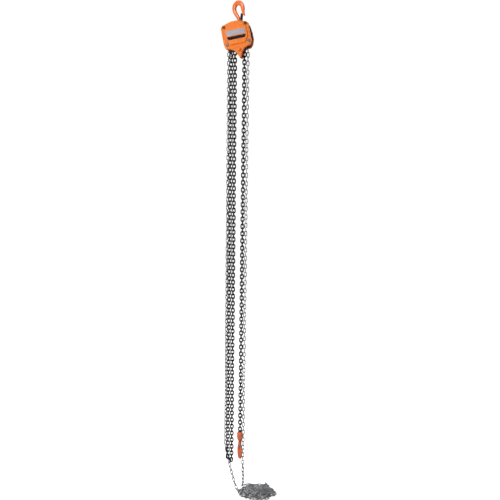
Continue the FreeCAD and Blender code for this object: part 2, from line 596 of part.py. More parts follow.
def latch_pin():
    pin = rod(2.5, -7.6, 7.6, *LATCH).fuse(rod(3.8, 6.3, 7.6, *LATCH))
    return pin.fuse(rod(3.8, -7.6, -6.3, *LATCH))


def latch_spring(y):
    x, z = LATCH
    leg = Part.makeCylinder(0.5, 13.5, vec(x + 2.4, y, z + 2.4), vec(0.10, 0, 1))
    return Part.makeTorus(3.45, 0.55, vec(x, y, z), Y_AXIS).fuse(leg)


def put_hook(prefix, frame, shank_end):
    put(prefix + "_hook", frame, hook(shank_end))
    put(prefix + "_latch", frame, latch())
    put(prefix + "_latch_pin", frame, latch_pin())
    put(prefix + "_latch_spring", frame, latch_spring(3.1), latch_spring(-3.1))


# top hook and the yoke it swivels in
lean = FreeCAD.Rotation(Y_AXIS, -HOOK_TILT)
top_frame = FreeCAD.Placement(ORIGIN, lean.multiply(FreeCAD.Rotation(Z_AXIS, -TOP_SWIVEL)))
end = -PIN_TO_SADDLE + 7.2
put_hook("top", top_frame, end)
put("top_hook_nut", top_frame, collar(12.0, SHANK_R, end, end + 7.1))
put("top_hook_washer", top_frame, collar(12.4, 8.05, end + 7.2, end + 8.7))

arms = box(-13, 13, -19.5, 19.5, -2, 28).common(box(-40, 40, -40, 40, 0, 80))
yoke = arms.fuse(rod(13.0, -19.5, 19.5)).cut(box(-30, 30, -13.2, 13.2, -20, 16))
yoke = yoke.fuse(box(-14, 14, -19.5, 19.5, 16, 28))
yoke = yoke.cut(rod(6.05, -30, 30)).cut(upright(8.05, 10, 40)).removeSplitter()
yoke = yoke.makeFillet(3.0, [edge for edge in yoke.Edges if edge.BoundBox.ZMin > 27.9
                             and edge.Curve.TypeId == "Part::GeomLine"])
put("top_yoke", FreeCAD.Placement(PIN_WORLD, lean), yoke)
put_body("suspension_pin", headed_pin(6.0, 8.5, PLATE_OUT, 1.2, 3.0, 1.8, *HANGER))

# ends of the inclined chain on the load side and the slack side
FALL_TOP = BODY.multVec(vec(LOAD_JOINT_R, 0, -LEAD_LINKS * HANG_PITCH))
SLACK_TOP = BODY.multVec(vec(-LOAD_JOINT_R, 0, -LEAD_LINKS * HANG_PITCH))
FALL_X = FALL_TOP.x

# bottom block, drawn about its chain pin and split in the plane y = 0
block_frame = FreeCAD.Placement(vec(FALL_X, 0, LOAD_PIN_Z), FreeCAD.Rotation())
BLOCK_SECTION = [(0, 12), (9.5, 12), (13.5, 9.5), (16.5, 3), (17, -2), (17, -20), (16.2, -28),
                 (14.5, -35), (12.5, -40), (11.5, -42), (0, -42)]     # radius, z
chain_pin = Part.makeCylinder(4.5, 27.0, vec(-13.5, 0, 0), X_AXIS)
block = turned([vec(radius, 0, z) for radius, z in BLOCK_SECTION], Z_AXIS)
block = block.cut(box(-12.6, 12.6, -4.3, 4.3, 8.0, 18.0))
block = block.cut(box(-4.3, 4.3, -13.1, 13.1, -15, 25)).cut(chain_pin)
block = block.cut(upright(11.0, -35, -24.0)).cut(upright(8.05, -50, -30))
SCREWS = [(11.8, -19.2), (-11.8, -19.2)]
screws = []
for x, z in SCREWS:
    block = block.cut(rod(2.5, -30, 30, x, z)).cut(rod(4.6, -30, -8.5, x, z))
    screw = rod(2.5, -12.0, 13.0, x, z).fuse(rod(4.3, -12.0, -8.52, x, z))
    screws.append(screw.cut(hexagon(3.0, -13, -10, x, z)))
put("load_yoke_front", block_frame, block.common(box(-40, 40, -40, 0, -60, 40)))
put("load_yoke_rear", block_frame, block.common(box(-40, 40, 0, 40, -60, 40)))
put("load_yoke_screws", block_frame, *screws)
put("load_chain_pin", block_frame, chain_pin)

# load hook, upside down below the block
sine, cosine = math.sin(math.radians(LOAD_SWIVEL)), math.cos(math.radians(LOAD_SWIVEL))
load_frame = FreeCAD.Placement(
    vec(FALL_X, 0, LOAD_PIN_Z - LOAD_HOOK_DROP),
    FreeCAD.Rotation(vec(sine, -cosine, 0), vec(-cosine, -sine, 0), -Z_AXIS, "XYZ"))
end = -LOAD_HOOK_DROP + 24.6
put_hook("load", load_frame, end)
put("load_hook_head", load_frame, collar(10.8, SHANK_R, end, end + 10.3))


# ---------------------------------------------------------------- load chain
def lay(link, start, end, wide):
    """A link between two joint points, its width along the direction wide."""
    along = unit(end - start)
    across = unit(wide - along * wide.dot(along))
    copy = link.copy()
    copy.Placement = FreeCAD.Placement(
        (start + end) * 0.5, FreeCAD.Rotation(across, along.cross(across), along, "XYZ"))
    return copy


def posed(link, placements):
    links = []
    for placement in placements:
        copy = link.copy()
        copy.Placement = placement
        links.append(copy)
    return links


def spaced(start, end, count):
    """The pairs of joints of count links from start to end."""
    joints = [start + (end - start) * (k / count) for k in range(count + 1)]
    return list(zip(joints, joints[1:]))


def run(link, start, end, count, *wides):
    """A straight run of links, their width alternating between two directions."""
    return [lay(link, upper, lower, wides[k % 2])
            for k, (upper, lower) in enumerate(spaced(start, end, count))]


def read_poses(text, shift):
    """Placements from rows of x, y, z and a quaternion w, x, y, z in ten-thousandths."""
    numbers = [float(word) for word in text.split()]
    placements = []
    for i in range(0, len(numbers), 7):
        turn_w, turn_x, turn_y, turn_z = [number / 10000 for number in numbers[i + 3:i + 7]]
        placements.append(FreeCAD.Placement(vec(*numbers[i:i + 3]) + shift,
                          FreeCAD.Rotation(turn_x, turn_y, turn_z, turn_w)))
    return placements


def sheave_joint(degrees):
    x, z = polar(LOAD_JOINT_R, math.radians(degrees))
    return BODY.multVec(vec(x, 0, z))


arc = []
for k in range(4):
    start, end = sheave_joint(45 * k), sheave_joint(45 * (k + 1))
    arc.append(lay(ROUND_LOAD, start, end, Y_AXIS if k % 2 == 0 else (end - start).cross(Y_AXIS)))
sideways = BODY.Rotation.multVec(X_AXIS)
arc += run(ROUND_LOAD, sheave_joint(0), FALL_TOP, LEAD_LINKS, sideways, Y_AXIS)
arc += run(ROUND_LOAD, sheave_joint(180), SLACK_TOP, LEAD_LINKS, Y_AXIS, sideways)
save("load_chain_arc", arc)

last = vec(FALL_X, 0, LOAD_PIN_Z + LOAD_INNER / 2 - 4.5 - 0.25)     # link on the block pin
fall = run(LOAD_LINK, FALL_TOP, last + vec(0, 0, 10.4), FALL_LINKS, Y_AXIS, X_AXIS)
fall.append(lay(LOAD_LINK, last + vec(0, 0, 10), last - vec(0, 0, 10), Y_AXIS))
save("load_fall", fall)

# both pose tables are written for this place of the sheave axis
TABLE_SHIFT = AXIS - vec(-9.0007, 0, -155.2666)
# the U-turn of the slack loop
LOOP_POSES = read_poses("""
-22.0 44.0 -2415.4 0 10000 0 0  -21.9 44.0 -2435.9 1 7071 7071 1
-21.9 44.0 -2456.5 0 -10000 0 40  -21.9 44.0 -2477.0 2 7071 7071 2
-21.9 44.0 -2497.6 0 -10000 0 50  -21.9 44.0 -2518.1 3 7071 7071 3
-21.9 44.0 -2538.6 0 -9999 0 110  -22.2 44.0 -2559.1 74 -7071 -7071 74
-23.7 44.0 -2579.5 0 -9948 0 1022  -34.9 44.0 -2575.6 6563 -2632 -2632 6563
-44.7 44.0 -2559.1 0 180 0 9998  -44.6 44.0 -2538.6 7071 12 12 7071
-44.5 44.0 -2518.1 0 64 0 -10000  -44.5 44.0 -2497.5 7071 7 7 7071
-44.4 44.0 -2477.0 0 48 0 -10000  -44.4 44.0 -2456.5 7071 5 5 7071
-44.5 44.0 -2435.9 0 -100 0 10000  -44.5 44.0 -2415.4 7071 0 0 7071
""", TABLE_SHIFT)
slack_low, dead_low = [LOOP_POSES[i].Base + vec(0, 0, 10.2) for i in (0, -1)]
pitch = (SLACK_TOP.z - slack_low.z) / LOOP_LINKS
dead_top = vec(dead_low.x, DEAD_Y, slack_low.z + pitch * DEAD_LINKS)
save("slack_loop", posed(LOAD_LINK, LOOP_POSES)
     + run(LOAD_LINK, SLACK_TOP, slack_low, LOOP_LINKS, X_AXIS, Y_AXIS)
     + run(LOAD_LINK, dead_top, dead_low, DEAD_LINKS, X_AXIS, Y_AXIS))

# dead-end anchor: two straps from a pin in the side plate to the last link
strap_top = BODY.multVec(vec(ANCHOR[0], 0, ANCHOR[1]))
strap_low = vec(dead_top.x, 0, dead_top.z - pitch / 2 + LOAD_INNER / 2 - 4.6 - 0.25)
along = unit(strap_low - strap_top)
across = vec(-along.z, 0, along.x)
top_place, low_place = (strap_top.x, strap_top.z), (strap_low.x, strap_low.z)


def strap(y0, y1):
    corners = [strap_top + across * 9.5, strap_low + across * 8.0,
               strap_low - across * 8.0, strap_top - across * 9.5]
    plate = prism([(corner.x, corner.z) for corner in corners], y0, y1)
    return plate.fuse(rod(9.5, y0, y1, *top_place)).fuse(rod(8.0, y0, y1, *low_place))


anchor = strap(DEAD_Y - 8.1, DEAD_Y - 4.2).fuse(strap(DEAD_Y + 4.2, DEAD_Y + 8.1))
anchor = anchor.fuse(rod(9.5, DEAD_Y - 4.3, DEAD_Y + 4.3, *top_place))
anchor = anchor.cut(rod(5.0, -40, 40, *top_place)).cut(rod(4.6, -40, 40, *low_place))
put("chain_anchor", WORLD, anchor.removeSplitter())
put_body("anchor_pin", rod(5.0, -PLATE_OUT + 0.3, PLATE_OUT + 1.2, *ANCHOR)
         .fuse(rod(7.5, PLATE_OUT + GAP, PLATE_OUT + 1.9, *ANCHOR)).removeSplitter())
put("anchor_chain_pin", WORLD, headed_pin(4.6, 6.4, 8.1, 1.3, 2.3, 1.7, *low_place, y=DEAD_Y))

# ---------------------------------------------------------------- hand chain
# the settled heap
HEAP_POSES = read_poses("""
-61.4 70.0 -2440.0 0 9239 3827 0  -59.4 70.1 -2463.5 225 -9030 4202 -865
-55.1 69.3 -2486.8 500 9268 3634 805  -50.5 68.6 -2510.0 251 -9175 3839 -1009
-45.4 67.7 -2533.2 595 9173 3815 968  -39.9 67.0 -2556.2 303 -9150 3846 -1179
-34.1 66.0 -2579.2 691 9116 3904 1086  -28.0 65.1 -2602.1 316 -9147 3815 -1300
-21.6 64.0 -2624.9 752 9153 3781 1165  -15.1 62.8 -2647.7 342 -9022 4069 -1390
-8.4 61.4 -2670.3 751 9412 3029 1293  -1.3 59.9 -2692.9 465 -8612 4826 -1526
6.3 58.0 -2715.3 798 9588 2220 1583  16.1 56.0 -2736.7 723 -8205 5118 -2443
32.4 51.6 -2750.6 2493 7254 3162 5583  55.7 51.6 -2753.8 3117 -6208 3520 -6274
78.5 51.6 -2754.3 3299 6015 3704 6262  99.0 50.8 -2754.4 3192 -5636 4116 -6411
119.9 46.8 -2754.0 4103 6491 2792 5765  139.9 43.8 -2754.0 3333 -6118 3742 -6120
159.8 40.0 -2754.2 4505 6715 2598 5280  180.7 37.4 -2754.1 3670 -6303 3300 -5993
201.9 38.9 -2754.4 3437 5954 3933 6105  221.7 45.9 -2753.2 4694 -6968 860 -5355
229.7 59.4 -2752.9 2800 287 -6103 -7405  226.6 74.5 -2751.4 6294 -5557 -4426 -3149
216.0 89.0 -2754.2 5449 2628 -6580 -4483  195.8 93.9 -2754.1 6399 -4013 -5837 2979
174.5 95.8 -2754.3 6050 3524 -6111 -3693  153.4 95.2 -2754.2 5944 -3283 -6313 3747
132.1 96.8 -2754.0 5679 2791 -6528 -4164  114.0 98.0 -2753.7 6058 -3104 -6429 3512
94.5 91.5 -2754.0 7111 5207 -4378 -1776  81.2 78.3 -2751.1 6359 2315 -6617 3229
72.0 59.9 -2746.8 7947 6059 -136 339  68.5 41.1 -2748.4 1399 2669 -8374 4560
71.1 22.1 -2754.1 6410 6817 486 3492  85.4 4.5 -2752.8 107 -5045 4976 -7055
104.8 -7.6 -2753.7 4442 6548 2383 5632  127.4 -12.6 -2752.8 2383 -6375 3040 -6666
150.4 -10.9 -2753.6 2507 5765 4026 6653  172.8 -5.0 -2753.4 3963 -6704 2261 -5852
192.6 4.7 -2754.2 1448 4575 5411 6906  202.8 22.9 -2748.7 6987 -5146 -1920 -4584
203.2 43.3 -2746.2 335 221 -7226 -6901  197.6 64.9 -2749.4 5389 -5083 -5853 -3297
189.4 85.6 -2747.4 3770 496 -5972 -7062  179.2 104.5 -2747.3 5714 -6509 -4991 282
162.1 114.5 -2753.0 6158 2696 -6668 -3218  140.3 114.3 -2753.8 5990 -3060 -6407 3703
119.9 109.8 -2748.0 8633 3022 -3402 -2182  114.3 98.2 -2742.7 6275 6552 -4026 -1219
99.6 82.1 -2749.1 3701 8038 1458 -4423  90.1 64.9 -2747.7 8541 5131 -548 656
85.8 47.1 -2742.9 6501 7001 1972 -2198  96.6 31.7 -2749.4 2258 7863 -491 5730
117.7 23.6 -2753.2 6464 4436 5830 2133  138.4 21.2 -2754.3 3268 5555 4128 6436
157.8 28.2 -2746.6 7928 506 4376 4212  171.4 41.8 -2747.4 940 2967 7889 5299
178.9 60.1 -2752.9 3813 -966 7189 5731  182.7 72.4 -2746.9 790 -4446 4013 7969
166.6 88.7 -2743.3 6156 -6733 -1074 3952  152.6 104.7 -2742.1 442 4255 -5467 -7198
139.8 112.7 -2742.7 1437 -5145 2069 8197  122.3 120.8 -2748.3 3823 2770 -8334 -2873
102.9 116.1 -2753.6 4916 7071 -1758 -4770  84.5 105.3 -2753.9 6912 4917 -5036 -1637
64.6 96.7 -2754.1 4312 6536 -2723 -5592  48.9 93.7 -2752.8 7132 4212 -4836 -2830
41.6 81.1 -2750.7 624 4772 6385 -6006  47.3 67.9 -2750.7 6469 3898 6208 2101
63.0 63.0 -2741.4 6739 -2806 1604 -6644  72.9 56.5 -2733.6 6731 4109 4346 4350
86.9 47.0 -2731.1 6139 4769 6241 779  105.4 43.8 -2742.0 2026 8000 4143 3838
120.5 48.0 -2744.3 5977 5173 4167 4489  139.1 46.9 -2743.1 2284 7012 2030 6441
161.0 48.0 -2742.0 6398 3032 5600 4302  178.0 49.7 -2740.7 3403 7559 2803 4840
204.0 69.3 -2744.3 5443 -1963 -1245 8060  190.6 68.5 -2737.8 5108 7710 -2550 -2821
172.1 64.9 -2746.1 1527 -9071 -638 3871  158.6 67.4 -2750.9 1776 5356 -4807 -6713
142.0 75.2 -2751.1 2028 -7059 763 6743  120.8 78.8 -2750.2 5661 5107 -4247 -4881
103.6 78.6 -2742.3 1917 2335 -2052 -9309  86.8 84.1 -2739.6 2910 3161 -7765 -4609
67.7 84.4 -2746.8 2362 7899 -653 -5622  54.0 73.7 -2744.8 8803 4054 -1537 1924
52.8 53.8 -2736.0 6706 5595 3694 -3176  63.2 37.1 -2740.4 4257 7921 2203 3780
81.4 26.2 -2748.9 5582 5115 6516 478  99.6 13.7 -2753.6 5066 7094 1597 4632
119.4 5.1 -2753.8 6541 4054 5844 2572  139.9 3.5 -2754.6 3434 5810 4074 6153
158.9 11.7 -2753.7 4846 968 6994 5163  179.2 21.3 -2749.7 278 5903 2089 7792
191.2 33.4 -2741.8 1982 -1201 5522 8009  190.2 54.0 -2733.5 2982 -1141 -5314 -7846
182.9 72.0 -2731.0 1546 5321 -6112 -5652  171.0 80.6 -2733.4 6571 3883 -4814 -4309
154.8 83.4 -2739.5 324 9351 -3144 -1601  138.9 89.8 -2744.5 5853 2990 -5524 -5128
126.8 81.5 -2739.7 1480 5898 3647 -7051  114.8 69.8 -2744.9 4370 8658 -721 -2328
108.0 59.0 -2742.2 1882 -1163 1836 -9578  107.7 44.9 -2733.1 6003 7296 2881 -1559
114.5 32.4 -2740.6 4188 4062 7810 -2230  128.2 17.4 -2745.3 5939 6464 3555 3211
147.7 12.0 -2745.2 7490 2512 5912 1622  167.8 7.2 -2744.9 5645 6263 3808 3795
183.7 11.4 -2741.6 7057 1055 4886 5022  197.3 25.7 -2734.3 620 -3202 -4662 -8224
209.6 41.1 -2736.1 1286 1209 8284 5316  213.7 62.3 -2743.8 3732 -4755 -6035 -5201
214.1 85.5 -2745.6 49 12 7185 6955  206.2 103.3 -2748.9 3985 -1735 -8082 -3973
190.6 119.4 -2753.2 1082 4918 -5397 -6747  172.8 131.8 -2754.2 4995 1988 -6769 -5028
152.4 139.7 -2753.7 2508 5794 -4047 -6615  130.8 142.4 -2754.2 6025 3696 -6080 -3616
110.4 137.5 -2753.7 4634 6822 -1855 -5343  94.6 124.8 -2748.7 8676 4242 -2492 724
79.7 109.4 -2743.1 5408 6648 -1452 -4944  65.7 93.7 -2738.8 8341 5020 -2071 973
72.7 80.0 -2734.8 3156 375 7817 -5365  86.8 64.3 -2731.5 8860 3354 3177 -399
100.3 48.4 -2722.6 4330 673 6648 -6050  112.3 34.6 -2726.6 3875 6731 5059 3753
130.7 31.4 -2736.7 4166 2680 8663 640  147.0 33.7 -2738.5 913 2759 3868 8752
163.9 40.6 -2732.8 5624 3526 5494 5074  181.5 41.5 -2729.4 2817 5537 2609 7389
203.7 45.6 -2726.6 5680 1915 6975 3926  218.7 60.0 -2732.7 1552 -5925 -5864 -5301
220.0 78.7 -2735.3 1949 1600 -6727 -6956  202.6 89.3 -2732.1 8068 -2218 -5447 570
181.9 94.2 -2733.6 4188 2780 -8001 -3274  162.7 99.5 -2733.7 7978 -4614 -2828 2658
145.2 101.3 -2732.1 5576 4003 -6419 -3419  133.2 98.3 -2732.9 7969 -419 -5724 1886
113.6 97.5 -2733.6 2567 5355 -5251 -6096  91.5 97.4 -2735.9 7386 2337 -6286 -690
77.8 90.0 -2726.8 7397 4060 -2083 -4945  65.5 74.7 -2723.4 5676 6269 -5336 93
60.1 56.4 -2725.2 6751 6664 1856 -2564  69.4 40.6 -2730.4 3738 8108 1204 4340
83.4 33.8 -2733.6 6257 6247 4157 2130  98.3 23.9 -2737.1 1951 7528 -2161 5903
115.8 15.5 -2738.9 4309 5933 3137 6032  136.8 19.1 -2733.7 1886 -6045 -779 -7700
139.3 28.9 -2725.6 4411 -6508 3000 5403  142.6 45.1 -2728.9 5687 1460 6406 4948
154.3 61.3 -2733.3 4765 -5896 6209 1994  153.1 59.5 -2744.7 3092 -573 -9445 957
135.5 60.4 -2753.0 3627 5254 -5555 -5327  130.7 65.4 -2746.3 5470 3295 -1666 -7513
112.8 67.2 -2733.6 873 -6011 947 7887  91.9 72.0 -2726.2 5677 3918 -4359 -5781
78.4 60.6 -2719.5 1506 2898 4810 -8136  69.7 41.9 -2721.0 5349 8397 -208 -913
73.2 24.5 -2730.9 3250 3177 8227 -3414  85.6 10.6 -2740.9 4234 7310 3618 3944
106.5 4.7 -2743.2 7648 3517 5175 1537  127.8 4.2 -2738.6 1969 4487 3555 7959
147.8 11.9 -2735.1 4887 2673 6539 5120  161.5 24.6 -2730.0 981 -1054 -4338 -8894
166.1 44.3 -2724.6 2142 -2610 7398 5819  168.7 67.0 -2725.1 1433 -1894 -6234 -7449
173.9 89.8 -2724.0 3652 -2115 6933 5841  171.2 108.2 -2733.7 2769 -3273 -8598 -2773
159.3 121.9 -2744.2 3760 2716 -7608 -4540  138.2 129.3 -2747.5 7456 -1668 -6451 86
115.9 133.0 -2742.5 5574 4457 -4101 -5678  94.0 130.1 -2741.4 5632 1679 -8073 -549
74.7 123.4 -2746.7 6422 6364 -3782 -1987  60.5 107.4 -2742.9 8170 2374 -3982 3428
51.9 89.7 -2731.5 8372 5346 -29 -1149  50.6 68.6 -2721.3 6438 3795 -3483 5659
54.1 47.5 -2714.4 7466 6212 1409 1917  67.3 29.3 -2714.7 3108 7838 -2623 4694
82.8 15.8 -2724.6 3985 7506 4063 3358  102.4 7.5 -2729.9 2069 6414 -651 7359
124.3 1.4 -2726.4 6402 3710 5790 3424  145.9 4.9 -2726.6 2253 5636 4300 6684
166.5 11.0 -2725.4 5885 3055 5871 4644  188.8 17.5 -2723.5 494 -6556 -1728 -7334
209.8 25.8 -2726.6 2672 4456 6533 5507  227.0 38.4 -2734.9 1435 -8047 -3480 -4592
239.6 54.3 -2745.5 120 2977 7760 5559  239.5 76.1 -2750.3 5923 -5605 -4797 -3240
231.7 97.2 -2748.9 4485 147 -6121 -6511  214.1 109.5 -2741.8 7911 -1587 -5830 -951
192.9 118.1 -2741.0 3345 4536 -5921 -5760  171.8 126.5 -2741.5 6845 720 -6547 -3124
150.7 128.3 -2736.1 5416 5088 -3259 -5844  130.4 121.9 -2733.5 6392 2979 -6951 -1401
108.6 118.3 -2734.5 4339 5700 -3694 -5919  94.7 112.1 -2729.7 8991 4367 -310 19
89.1 95.4 -2720.3 6885 5975 1508 -3824  88.1 74.8 -2713.8 8109 5534 365 1867
91.2 54.2 -2712.6 5271 7234 4325 -1088  97.4 32.8 -2719.6 5779 7540 -1137 2908
112.9 21.3 -2721.8 5902 1619 7908 122  131.8 11.9 -2719.9 7573 5503 1994 2895
149.9 10.7 -2716.4 7001 -3773 5822 -1690  170.0 20.4 -2718.9 4521 735 7867 4138
188.0 30.2 -2719.2 7962 -2672 5428 58  202.1 35.6 -2715.3 1997 3338 -6673 -6351
198.3 55.4 -2718.5 4868 -6282 5395 2778  192.9 71.3 -2722.2 4986 2981 -6053 -5442
173.1 71.8 -2716.2 3576 4877 -1726 -7775  155.8 70.9 -2720.2 1509 5258 -7335 -4033
141.5 68.7 -2735.0 2242 9238 819 -2992  131.9 62.3 -2732.2 7103 4778 944 -5083
123.1 65.9 -2720.8 1858 2554 -2988 -9006  115.8 57.8 -2719.8 6841 7188 -492 1137
120.5 45.6 -2719.4 6247 5057 5475 -2328  125.8 34.9 -2716.2 5803 1265 5103 6220
140.0 37.5 -2711.6 4919 1399 8057 2989  152.9 42.3 -2717.1 302 6188 3985 6764
169.7 53.4 -2714.7 5344 1461 6192 5565  180.8 70.3 -2710.9 1433 -1772 -5830 -7798
178.3 91.3 -2710.0 716 -5189 6453 5560  164.0 106.1 -2717.4 4622 2134 -7458 -4297
143.8 115.4 -2720.0 1826 5311 -4827 -6720  122.6 123.3 -2723.6 5321 2003 -7654 -3016
101.3 124.6 -2725.8 4533 5850 -4083 -5344  78.8 123.1 -2729.7 5459 516 -8361 -181
57.9 119.6 -2738.7 5125 6038 -5620 -2387  44.1 103.2 -2741.4 5822 2863 -6096 4555
38.5 81.9 -2738.1 7697 5976 -940 2040  38.3 59.3 -2737.2 2353 3251 -7182 5685
43.6 39.2 -2743.7 4025 6828 -3386 5070  54.6 21.3 -2739.8 340 -3382 4847 -8059
68.2 6.9 -2729.7 4382 3770 -530 8143  85.5 1.3 -2719.1 4530 -5920 2721 -6085
107.2 5.3 -2715.0 2902 5288 3343 7242  126.3 14.1 -2709.8 2234 -6551 -1814 -6986
145.8 25.2 -2711.3 4844 2949 6714 4771  164.4 36.6 -2708.8 1897 -4755 -2880 -8093
180.3 52.7 -2705.9 2753 1985 6911 6381  191.0 71.6 -2710.2 1507 -5582 -6174 -5334
193.4 92.0 -2718.2 58 -2938 7866 5430  184.9 112.2 -2725.9 4655 -2498 -7254 -4412
173.2 131.8 -2730.1 1668 2939 -7121 -6154  154.3 141.1 -2736.7 5609 -353 -8234 -790
131.8 144.8 -2739.2 5197 4126 -5508 -5062  108.6 144.5 -2738.8 6767 -62 -7326 738
85.8 141.6 -2742.3 5662 4842 -5904 -3105  66.1 132.9 -2747.7 5159 2215 -8097 1708
48.4 119.7 -2751.6 5760 7010 -1802 -3799  32.6 103.2 -2752.5 7045 5054 -4953 542
23.3 84.0 -2745.7 7832 5090 835 -3471  25.0 63.9 -2735.9 6645 5093 -1601 5229
28.5 44.9 -2740.8 4268 8059 4018 -831  38.2 27.9 -2750.9 3354 6638 -2592 6161
55.0 11.6 -2751.2 6391 6036 3758 2933  73.9 -0.9 -2747.8 2933 5351 -998 7859
93.2 -8.0 -2737.8 6443 3665 3957 5422  112.5 -8.2 -2725.2 1155 3555 701 9249
130.6 -5.1 -2711.9 5505 2469 4614 6504  146.9 8.5 -2704.9 868 -4525 -4431 -7690
153.9 27.7 -2701.1 828 -1775 6628 7227  153.6 49.6 -2702.5 1376 -3616 -7129 -5848
153.2 69.9 -2708.9 2338 -5908 6320 4438  146.2 81.1 -2720.1 3403 2813 -8448 -3024
126.4 84.0 -2726.0 3366 5388 -4490 -6283  107.8 81.5 -2722.8 8345 4041 -3423 -1518
102.4 66.5 -2711.1 4630 2474 3787 -7622  94.0 47.3 -2706.5 5969 6846 -887 -4089
88.0 34.5 -2714.3 1376 -4596 -8602 1733  96.1 27.6 -2712.4 6812 4227 3077 5124
112.0 19.0 -2701.5 8943 2886 3419 38  130.7 10.0 -2693.5 4238 6268 1698 6314
150.7 6.7 -2692.3 5074 3679 6394 4453  167.6 18.3 -2699.9 540 -7022 -5416 -4590
182.1 33.9 -2705.1 5477 221 6665 5053  195.1 51.7 -2701.2 429 -2227 -5486 -8047
188.4 68.9 -2693.8 5013 -6115 1207 6002  175.0 83.2 -2700.3 2292 4874 -7626 -3583
157.2 90.1 -2714.1 275 -8149 2701 5121  137.2 93.0 -2718.6 7527 3399 -5181 -2224
115.0 91.6 -2716.3 3773 5507 -4140 -6189  94.5 88.5 -2710.5 8811 3072 -3231 -1580
73.9 85.4 -2707.3 3581 6543 -3956 -5360  51.0 85.8 -2711.9 5456 2609 -7504 -2667
43.0 81.9 -2703.7 4981 -864 620 -8606  45.5 78.6 -2681.2 9505 575 475 -3016
45.1 76.4 -2658.0 3871 -1 297 -9216  44.7 74.9 -2634.7 8998 257 103 -4354
43.8 74.0 -2611.2 2552 32 191 -9667  43.3 73.1 -2587.9 8277 159 112 -5608
42.8 72.5 -2564.3 1218 -74 139 -9924  42.7 72.0 -2540.9 7631 29 106 -6462
42.7 71.5 -2517.3 742 -66 101 -9972  42.8 71.1 -2493.8 7589 15 103 -6511
43.1 70.8 -2470.3 756 -54 72 -9971  43.3 70.5 -2446.8 7652 15 76 -6438
43.6 70.2 -2423.3 598 -65 58 -9982  43.7 70.0 -2399.8 7565 0 0 -6540
""", TABLE_SHIFT - vec(0, 0, HEAP_DROP))
save("hand_chain_heap", posed(HAND_LINK, HEAP_POSES))


def wheel_joint(degrees):
    x, z = polar(HAND_JOINT_R, math.radians(degrees))
    return AXIS + vec(x, WHEEL_Y, z)


arc = []
for k in range(7):
    start, end = wheel_joint(180.0 * k / 7), wheel_joint(180.0 * (k + 1) / 7)
    arc.append(lay(ROUND_HAND, start, end, (end - start).cross(Y_AXIS) if k % 2 == 0 else Y_AXIS))
save("hand_chain_arc", arc)


def strand(top, pose, count):
    """Links from the wheel to a heap end, twisted evenly to meet the width of its link."""
    wide = pose.Rotation.multVec(X_AXIS)
    twist = (math.degrees(math.atan2(wide.y, wide.x)) - (count - 1) * 90) % 180
    if twist > 90:
        twist -= 180
    links = []
    for k, (upper, lower) in enumerate(spaced(top, pose.Base + vec(0, 0, 11.9), count)):
        x, y = polar(1, math.radians(90 + 90 * k + twist * k / (count - 1)))
        links.append(lay(HAND_LINK if k else ROUND_HAND, upper, lower, vec(x, y, 0)))
    return links


outward = vec(0.1, 0, 0)
save("hand_strands", strand(wheel_joint(180) - outward, HEAP_POSES[0], 98)
     + strand(wheel_joint(0) + outward, HEAP_POSES[-1], 96))
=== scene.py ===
import json
import math

import bpy
import numpy as np
from mathutils import Matrix, Vector


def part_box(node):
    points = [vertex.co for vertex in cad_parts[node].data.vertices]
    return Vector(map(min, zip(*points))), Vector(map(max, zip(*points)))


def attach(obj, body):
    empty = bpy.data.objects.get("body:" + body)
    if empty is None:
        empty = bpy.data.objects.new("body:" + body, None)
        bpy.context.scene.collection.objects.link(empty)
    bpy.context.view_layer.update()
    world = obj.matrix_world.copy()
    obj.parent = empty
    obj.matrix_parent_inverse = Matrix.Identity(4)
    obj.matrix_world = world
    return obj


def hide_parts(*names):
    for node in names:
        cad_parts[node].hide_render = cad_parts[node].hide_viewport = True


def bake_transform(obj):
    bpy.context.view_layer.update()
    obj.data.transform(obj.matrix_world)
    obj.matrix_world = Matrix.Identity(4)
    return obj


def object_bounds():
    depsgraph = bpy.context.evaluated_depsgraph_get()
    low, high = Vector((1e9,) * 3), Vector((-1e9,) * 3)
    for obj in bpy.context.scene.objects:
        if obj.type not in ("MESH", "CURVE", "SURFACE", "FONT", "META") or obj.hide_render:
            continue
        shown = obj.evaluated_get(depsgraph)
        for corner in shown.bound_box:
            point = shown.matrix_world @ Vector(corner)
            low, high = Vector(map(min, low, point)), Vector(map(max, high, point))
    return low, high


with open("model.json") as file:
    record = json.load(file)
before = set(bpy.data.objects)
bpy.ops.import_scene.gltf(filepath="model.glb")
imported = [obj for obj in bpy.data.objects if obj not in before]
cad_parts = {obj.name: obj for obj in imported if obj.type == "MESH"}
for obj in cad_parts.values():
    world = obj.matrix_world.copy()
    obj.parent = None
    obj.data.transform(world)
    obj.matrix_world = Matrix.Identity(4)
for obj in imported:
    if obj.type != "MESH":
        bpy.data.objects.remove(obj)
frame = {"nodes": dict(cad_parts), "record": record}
cad_low, cad_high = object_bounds()
cad_low, cad_high = [float(v) for v in cad_low], [float(v) for v in cad_high]
nodes = frame["nodes"]
MM = 0.001


